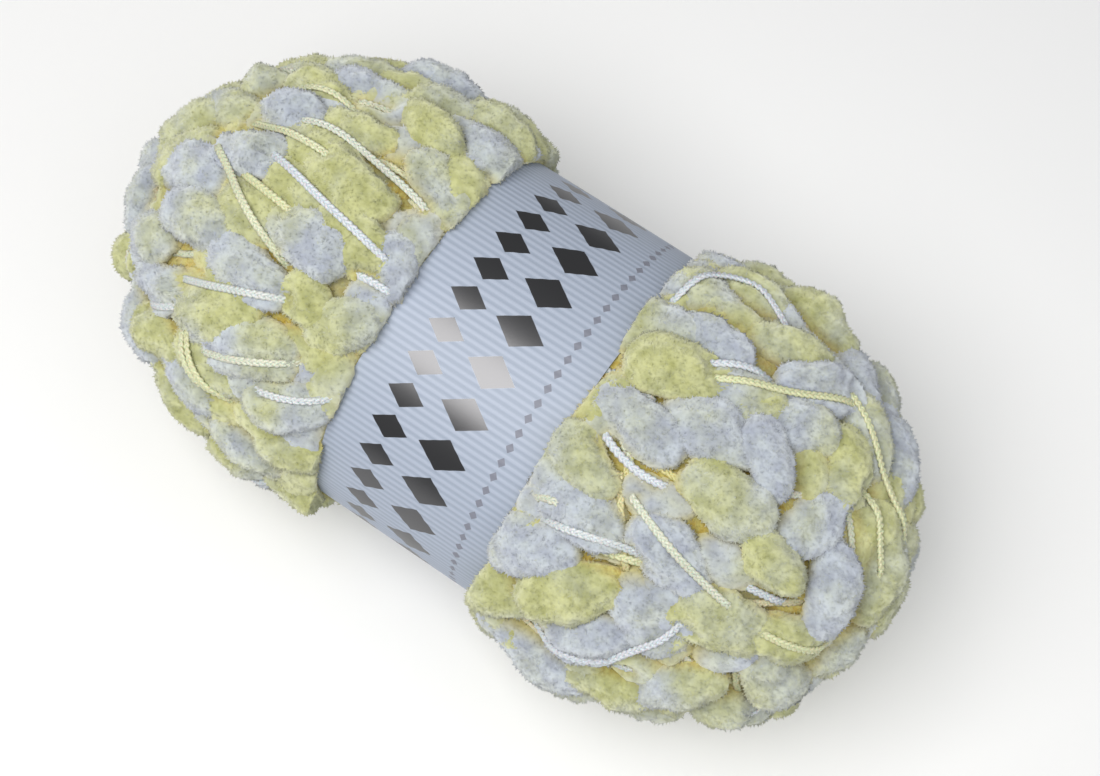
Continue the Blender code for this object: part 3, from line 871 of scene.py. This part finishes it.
def joined_ends(layout, chance):
    """Pairs of bobble ends that face each other across a gap, as along one length of yarn."""
    centre, _, fore = bobble_frame(*layout[:3])
    shortest, longest, straight, inward = 9.0, 42.0, 0.72, 0.8
    ends = [
        (index, centre[index] + sign * fore[index] * layout[3][index] * inward, sign * fore[index])
        for index in range(len(centre)) for sign in (-1.0, 1.0)
    ]
    scored = []
    for a, b in itertools.combinations(range(len(ends)), 2):
        if ends[a][0] == ends[b][0] or ends[a][1][0] * ends[b][1][0] < 0.0:
            continue
        gap = ends[b][1] - ends[a][1]
        length = np.linalg.norm(gap)
        if not shortest < length < longest:
            continue
        facing = min(gap @ ends[a][2], -gap @ ends[b][2]) / length
        if facing > straight:
            scored.append((length / 40.0 - facing + chance.random() * 0.5, a, b))
    pairs, used = [], set()
    for _, a, b in sorted(scored):
        if a not in used and b not in used:
            used.update((a, b))
            pairs.append((ends[a][0], ends[b][0], ends[a][1], ends[b][1]))
    return pairs


def bed_place(point):
    """Run and around of the bed point nearest to a point on the ball."""
    around = math.atan2(-point[1], point[2] / FLATNESS)
    across = math.hypot(point[1], point[2] / FLATNESS)
    nearest = np.argmin((PROFILE_ALONG - point[0]) ** 2 + (PROFILE_RADIUS - across) ** 2)
    return float(PROFILE_RUN[nearest]), around


def open_places(layout, chance):
    """Middles of the gaps between the outer bobbles, where the deeper cord shows."""
    spots = []
    draws, rim = 1600, 6.0
    for _ in range(draws):
        run, around = chance.uniform(rim, RUN_LENGTH - rim), chance.uniform(-math.pi, math.pi)
        if abs(float(along_at(run))) > BAND_EDGE + 2.0:
            spots.append((run, around))
    run, around = (np.array(column) for column in zip(*spots))
    base, outward, _, _ = bed_frame(run, around)
    height = surface_height(base, outward, layout)
    kept = []
    for index in np.argsort(height, kind="stable"):
        if all(np.linalg.norm(base[index] - base[other]) > DEEP_SPACING for other in kept):
            kept.append(index)
        if len(kept) == DEEP_CORDS:
            break
    return [(float(run[index]), float(around[index])) for index in kept]


def make_cords(layout, finish):
    """Cord on the surface: the lengths seen in the photograph, and others all round."""
    chance = random.Random(8)
    surface, deep, lines = Heap(), Heap(), []
    for yellow, *stops in SEEN_CORDS:
        run = np.array([float(run_at(along)) for along, _ in stops])
        around = np.radians([turned for _, turned in stops])
        run, around = spread_points(run, around, CORD_STEP)
        for _ in range(2):
            run, around = into_crevice(run, around, layout)
            run, around = run[::-1], around[::-1]
        points, up = cord_path(run, around, layout, ON_TOP)
        plait(surface, points, up, yellow, chance.uniform(0.0, 6.28), 1.0)
        lines.append(points[TUCK_POINTS:-TUCK_POINTS])
    for first, second, start, end in joined_ends(layout, chance):
        if first < len(PLACED) or second < len(PLACED):
            continue
        here, there = bed_place(start), bed_place(end)
        turned = (there[1] - here[1] + math.pi) % (2.0 * math.pi) - math.pi
        ends = np.array([here[0], there[0]]), np.array([here[1], here[1] + turned])
        points, up = cord_path(*spread_points(*ends, CORD_STEP), layout, PRESSED_IN)
        yellow, phase = chance.choice((0.0, 0.1, 0.5, 0.9, 1.0)), chance.uniform(0.0, 6.28)
        if here[0] > RUN_LENGTH / 2.0 and max(abs(here[1]), abs(there[1])) < FRONT:
            continue
        plait(surface, points, up, yellow, phase, 1.0)
        lines.append(points[3:-3])
    for middle, turned in open_places(layout, chance):
        angle, half = chance.gauss(0.1, 0.7), chance.uniform(8.0, 13.0)
        radius = max(12.0, float(radius_at(middle)))
        run, around = (
            np.array([start - reach, start + reach]) for start, reach in
            ((middle, half * math.cos(angle)), (turned, half * math.sin(angle) / radius))
        )
        run, around = spread_points(np.clip(run, 2.0, RUN_LENGTH - 2.0), around, 1.2)
        base, up, _, _ = bed_frame(run, around)
        height = chance.uniform(-0.8, 1.0) + 0.4 * np.sin(np.linspace(0.0, 3.0, len(run)))
        points = inside_band(base + up * height[:, None], BAND_RADIUS - 1.4, 2.0)
        yellow, phase = chance.choice((0.2, 0.6, 0.9, 1.0)), chance.uniform(0.0, 6.28)
        # Deep cords get a depth of 0.5 to 1, which the cord material turns into painted golden shade.
        plait(deep, points, up, yellow, phase, chance.choice((0.5, 0.75, 1.0)))
    stops = np.concatenate(lines)
    nearest = KDTree(len(stops))
    for place, stop in enumerate(stops):
        nearest.insert(stop, place)
    nearest.balance()
    return [surface.piece("cord_outer", finish), deep.piece("cord_deep", finish)], nearest


# The paper band
RIBS = 174
RIB_COLUMNS = 4
RIB_DEPTH = 0.16
PAPER_SEEN = 0.45
LAP_ANGLE = 22.0
LAP_STEP = 0.5


def make_band(finish):
    """Ribbed paper wrapped round the waist, its ends lapped underneath. Its UVs are in
    millimetres: along the wrap from the lap, and along the ball from the band's middle."""
    columns, rows = RIBS * RIB_COLUMNS, 9
    turn = np.arange(columns + 1) * 2.0 * math.pi / columns
    around = math.pi + turn
    edge = np.linspace(-BAND_EDGE, BAND_EDGE, rows)
    rib = RIB_DEPTH * 0.5 * (1.0 - np.cos(turn * RIBS))
    lap = LAP_STEP * np.clip(1.0 - np.degrees(turn) / LAP_ANGLE, 0.0, 1.0)
    wave = 0.28 * np.sin(turn * 5.0 + 0.6) + 0.16 * np.sin(turn * 11.0 + 2.0)
    along = edge[:, None] + ((edge / BAND_EDGE) ** 3)[:, None] * wave[None]
    belly = 0.25 * np.sin(turn * 3.0 + 1.0)[None] * (1.0 - (edge / BAND_EDGE) ** 2)[:, None]
    radius = BAND_RADIUS - RIB_DEPTH + rib[None] + lap[None] + belly * 0.4
    sin, cos = np.sin(around)[None], np.cos(around)[None]
    points = np.concatenate([
        np.stack([along, -r * sin, r * cos * FLATNESS], axis=-1).reshape(-1, 3)
        for r in (radius, radius - PAPER_SEEN)
    ])
    width = columns + 1
    half = rows * width
    skin = grid_faces(rows, width, closed=False)
    faces = [skin, skin[:, ::-1] + half]
    ring, rise = np.arange(columns), np.arange(rows - 1) * width
    last_row = (rows - 1) * width
    rims = (
        (ring, ring + 1, 1), (last_row + ring, last_row + ring + 1, -1),
        (rise, rise + width, -1), (columns + rise, columns + rise + width, 1),
    )
    for a, b, order in rims:
        faces.append(halved(a, a + half, b + half, b)[:, ::order])
    heap = Heap()
    heap.add(points, np.concatenate(faces), np.zeros((len(points), 3)))
    made = heap.piece("paper_band", finish)
    mesh = made.data
    wrap = np.broadcast_to(np.degrees(turn)[None] / 360.0 * BAND_GIRTH, along.shape)
    uv_points = np.stack([wrap, along], axis=-1).reshape(-1, 2)
    uv_points = np.concatenate([uv_points, uv_points + (0.0, 400.0)])  # the lining has no ornament
    loops = np.zeros(len(mesh.loops), np.int32)
    mesh.loops.foreach_get("vertex_index", loops)
    layer = mesh.uv_layers.new(name="paper")
    layer.data.foreach_set("uv", uv_points[loops].astype(np.float32).ravel())
    mesh.set_sharp_from_angle(angle=math.radians(50.0))
    return made


# Materials
class Nodes:
    """A material's node tree, with short ways to add and join nodes."""

    def __init__(self, name):
        self.material = bpy.data.materials.new(name)
        self.material.use_nodes = True
        self.tree = self.material.node_tree
        self.shader = self.tree.nodes["Principled BSDF"]

    def add(self, kind, sockets=(), values=(), **settings):
        """A node. Each of the numbered or named input sockets takes a value or a link."""
        node = self.tree.nodes.new(kind)
        for key, value in settings.items():
            setattr(node, key, value)
        for socket, value in zip(sockets, values):
            self.feed(node.inputs[socket], value)
        return node

    def feed(self, socket, value):
        if isinstance(value, bpy.types.NodeSocket):
            self.tree.links.new(value, socket)
        elif isinstance(value, tuple) and socket.type == "RGBA":
            socket.default_value = (*value, 1.0)
        else:
            socket.default_value = value

    def finish(self, **values):
        """Feeds the shader's sockets. An underscore stands for a space in their names."""
        for key, value in values.items():
            self.feed(self.shader.inputs[key.replace("_", " ")], value)
        return self.material

    def math(self, operation, first, second=0.0):
        return self.add("ShaderNodeMath", (0, 1), (first, second), operation=operation).outputs[0]

    def mix(self, share, first, second, blend="MIX"):
        return self.add(
            "ShaderNodeMix", (0, 6, 7), (share, first, second), data_type="RGBA", blend_type=blend,
        ).outputs[2]

    def vector(self, operation, first, second=(0.0, 0.0, 0.0)):
        return self.add("ShaderNodeVectorMath", (0, 1), (first, second), operation=operation).outputs[0]

    def ramp(self, source, low, high, to_low=0.0, to_high=1.0):
        values = (source, low, high, to_low, to_high)
        return self.add("ShaderNodeMapRange", range(5), values, interpolation_type="SMOOTHSTEP").outputs[0]

    def place(self):
        return self.add("ShaderNodeTexCoord").outputs["Object"]

    def noise(self, size, detail=2.0, roughness=0.5):
        """Noise with features about one size across, in metres."""
        sockets = ("Vector", "Scale", "Detail", "Roughness")
        values = (self.place(), 1.0 / size, detail, roughness)
        return self.add("ShaderNodeTexNoise", sockets, values).outputs["Fac"]

    def bump(self, height, strength, distance, under=None):
        sockets, values = ["Height", "Strength", "Distance"], [height, strength, distance]
        if under is not None:
            sockets, values = sockets + ["Normal"], values + [under]
        return self.add("ShaderNodeBump", sockets, values).outputs["Normal"]

    def darkened(self, colour, grey):
        shade = self.add("ShaderNodeCombineColor", (0, 1, 2), (grey, grey, grey)).outputs[0]
        return self.mix(1.0, colour, shade, "MULTIPLY")

    def tone(self):
        """The three channels of the tone attribute: yellow, pile and depth. Pile and depth steer painted
        shade and bounce light.
        """
        colour = self.add("ShaderNodeAttribute", attribute_name="tone").outputs["Color"]
        return self.add("ShaderNodeSeparateColor", (0,), (colour,)).outputs


def pile_material():
    """Dense soft pile: quite matt, dyed from white to pale yellow, with painted golden shade and bounce
    light in the hollows and painted shade in the creases between its tufts.
    """
    nodes = Nodes("pompom_pile")
    yellow, pile, depth = nodes.tone()
    mottle = nodes.math("MULTIPLY", nodes.math("SUBTRACT", nodes.noise(0.0026), 0.5), 0.4)
    dyed = nodes.ramp(nodes.math("ADD", yellow, mottle), -0.22, 1.22)
    patch = nodes.ramp(nodes.noise(0.0045), 0.3, 0.7)
    white = nodes.mix(patch, (0.41, 0.445, 0.53), (0.545, 0.59, 0.65))
    lemon = nodes.mix(patch, (0.425, 0.437, 0.165), (0.595, 0.605, 0.30))
    surface = nodes.mix(dyed, white, lemon)
    # Painted shade and bounce light: where the depth channel is low, down between bobbles and in the
    # winding, white yarn turns olive and yellow yarn deep gold.
    streak = nodes.ramp(nodes.noise(0.0016), 0.35, 0.65)
    painted_gold_bounce = nodes.mix(streak, (0.56, 0.40, 0.05), (0.62, 0.56, 0.17))
    painted_hollow_shade = nodes.mix(dyed, (0.57, 0.52, 0.21), painted_gold_bounce)
    colour = nodes.mix(nodes.ramp(depth, 0.3, 0.8), painted_hollow_shade, surface)
    # Painted shade: the colour is darkened in the creases between tufts and at the tufts' feet, where the
    # pile channel is low; the fine noise on top is the pile's own grain.
    painted_crease_shade = nodes.ramp(pile, 0.05, 0.6, 0.92, 1.02)
    grain = nodes.math("MULTIPLY", painted_crease_shade, nodes.ramp(nodes.noise(0.0008), 0.25, 0.75, 0.95, 1.04))
    coarse = nodes.bump(nodes.noise(0.0012, 2.0, 0.6), 0.2, 0.0005)
    fine = nodes.bump(nodes.noise(0.0004, 2.0, 0.6), 0.25, 0.0004, coarse)
    return nodes.finish(
        Base_Color=nodes.darkened(colour, grain), Normal=fine, Roughness=0.95, Diffuse_Roughness=1.0,
        Sheen_Weight=0.4, Sheen_Roughness=0.6, Specular_IOR_Level=0.15,
    )


def cord_material():
    """Shiny braided filament, white or pale yellow, with painted golden shade on the cords that lie deeper
    in the winding.
    """
    nodes = Nodes("braided_cord")
    yellow, _, depth = nodes.tone()
    surface = nodes.mix(yellow, (0.66, 0.69, 0.73), (0.70, 0.70, 0.40))
    # Painted shade: a cord with a lower depth value, down in the winding, turns toward dark gold.
    colour = nodes.mix(depth, (0.60, 0.46, 0.08), surface)
    lines = nodes.ramp(nodes.noise(0.0005, 1.0), 0.3, 0.7, 0.9, 1.04)
    return nodes.finish(
        Base_Color=nodes.darkened(colour, lines), Normal=nodes.bump(nodes.noise(0.0003, 1.0), 0.25, 0.0002),
        Roughness=0.36, Specular_IOR_Level=0.6, Subsurface_Weight=0.15, Subsurface_Scale=0.001,
    )


ORNAMENT_ROWS = (
    # middle_mm, half_height_mm, half_width_mm, pitch_mm
    (-12.5, 5.6, 3.7, 9.8),
    (3.5, 7.4, 4.9, 12.6),
    (18.0, 1.2, 1.5, 4.4),
)


def paper_material():
    """Pale ribbed paper, with painted shade in its rib valleys, rows of foil lozenges round it and a fine
    row of grey ones.
    """
    nodes = Nodes("ribbed_paper")
    place = nodes.add("ShaderNodeUVMap", uv_map="paper").outputs[0]
    wrap, along, _ = nodes.add("ShaderNodeSeparateXYZ", (0,), (place,)).outputs
    masks = []
    for middle, half_height, half_width, pitch in ORNAMENT_ROWS:
        across = nodes.math("DIVIDE", nodes.math("PINGPONG", wrap, pitch / 2.0), half_width)
        up = nodes.math("ABSOLUTE", nodes.math("SUBTRACT", along, middle))
        up = nodes.math("DIVIDE", up, half_height)
        masks.append(nodes.ramp(nodes.math("ADD", across, up), 1.02, 0.98))
    foil = nodes.math("MAXIMUM", masks[0], masks[1])
    # Painted shade: the paper is darker in the rib valleys and lighter on the crests, in step with the
    # ribs' relief.
    rib = nodes.math("COSINE", nodes.math("MULTIPLY", wrap, 2.0 * math.pi * RIBS / BAND_GIRTH))
    paper = nodes.mix(nodes.ramp(rib, -1.0, 1.0), (0.42, 0.47, 0.57), (0.335, 0.385, 0.475))
    inked = nodes.mix(masks[2], paper, (0.22, 0.23, 0.28))
    # stamping the foil presses the ribs flat, so the foil shines like a smooth tube
    centred = nodes.vector("ADD", nodes.place(), tuple(-value * MM for value in BALL_MIDDLE))
    tube = nodes.vector("MULTIPLY", centred, (0.0, 1.0, 1.0 / FLATNESS ** 2))
    smooth = nodes.add(
        "ShaderNodeVectorTransform", (0,), (nodes.vector("NORMALIZE", tube),),
        vector_type="NORMAL", convert_from="OBJECT", convert_to="WORLD",
    ).outputs[0]
    grain = nodes.bump(nodes.noise(0.0004), 0.12, 0.0001)
    facing = nodes.add("ShaderNodeMix", (0, 4, 5), (foil, grain, smooth), data_type="VECTOR")
    return nodes.finish(
        Base_Color=nodes.mix(foil, inked, (0.13, 0.13, 0.135)), Metallic=foil,
        Roughness=nodes.ramp(foil, 0.0, 1.0, 0.5, 0.3), Normal=facing.outputs[1], Specular_IOR_Level=0.4,
    )


def floor_material():
    nodes = Nodes("pale_floor")
    colour = nodes.mix(nodes.noise(0.4), (0.95, 0.95, 0.95), (0.97, 0.97, 0.97))
    return nodes.finish(Base_Color=colour, Roughness=0.8, Specular_IOR_Level=0.2)


# Floor, light and camera
IMAGE_WIDTH = 1100.0
SENSOR_WIDTH = 36.0
FOCAL_PIXELS = 1722.7
CAMERA_DISTANCE = 491.5
CAMERA_ELEVATION = 70.0
CAMERA_AZIMUTH = 29.1
CAMERA_ROLL = 5.4
CAMERA_ASIDE = (9.84, -1.94)  # keeps the ball where the photograph frames it


def make_floor():
    mesh = bpy.data.meshes.new("floor")
    reach = 3.0
    corners = [(-reach, -reach, 0.0), (reach, -reach, 0.0), (reach, reach, 0.0), (-reach, reach, 0.0)]
    mesh.from_pydata(corners, [], [(0, 1, 2, 3)])
    mesh.materials.append(floor_material())
    floor = put_in_scene("floor", mesh)
    floor.location.z = -0.0002
    return floor


def make_light(name, towards, distance, size, watts, colour):
    """A square soft panel that faces the ball from a direction."""
    light = bpy.data.lights.new(name, "AREA")
    light.shape, light.size, light.energy, light.color = "SQUARE", size, watts, colour
    made = put_in_scene(name, light)
    way = Vector(towards).normalized()
    made.location = way * distance + Vector((0.0, 0.0, 0.05))
    made.rotation_euler = way.to_track_quat("Z", "Y").to_euler()


def make_world():
    world = bpy.data.worlds.new("studio")
    world.use_nodes = True
    background = world.node_tree.nodes["Background"]
    background.inputs["Color"].default_value = (0.96, 0.98, 1.0, 1.0)
    background.inputs["Strength"].default_value = 0.27
    bpy.context.scene.world = world


def make_camera():
    elevation, azimuth, roll = (
        math.radians(angle) for angle in (CAMERA_ELEVATION, CAMERA_AZIMUTH, CAMERA_ROLL)
    )
    back = Vector((
        math.sin(azimuth) * math.cos(elevation),
        -math.cos(azimuth) * math.cos(elevation),
        math.sin(elevation),
    ))
    level = Vector((math.cos(azimuth), math.sin(azimuth), 0.0))
    upright = back.cross(level)
    right = level * math.cos(roll) + upright * math.sin(roll)
    up = upright * math.cos(roll) - level * math.sin(roll)
    place = back * CAMERA_DISTANCE + right * CAMERA_ASIDE[0] + up * CAMERA_ASIDE[1]
    camera = bpy.data.cameras.new("camera")
    camera.sensor_width = SENSOR_WIDTH
    camera.lens = SENSOR_WIDTH * FOCAL_PIXELS / IMAGE_WIDTH
    camera.clip_start = 0.01
    made = put_in_scene("camera", camera)
    turned = Matrix((right, up, back)).transposed().to_4x4()
    turned.translation = Vector(to_row(np.array(place)))
    made.matrix_world = turned
    bpy.context.scene.camera = made


def main():
    make_camera()
    layout = plump(lay_bobbles())
    pile, cord = pile_material(), cord_material()
    yarn, cords = make_cords(layout, cord)
    yarn += make_bobbles(layout, lay_infill(layout), cords, pile)
    for piece in yarn:
        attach(piece, "root")
        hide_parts("skein")
    band = make_band(paper_material())
    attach(band, "root")
    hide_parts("band")
    make_floor()
    make_world()
    make_light("key", (-0.13, -0.36, 0.92), 0.8, 0.56, 5.1, (1.0, 0.985, 0.96))
    make_light("fill", (0.5, -0.1, 0.86), 1.2, 1.7, 6.0, (0.97, 0.98, 1.0))
    bpy.context.scene.view_settings.view_transform = "Standard"


main()
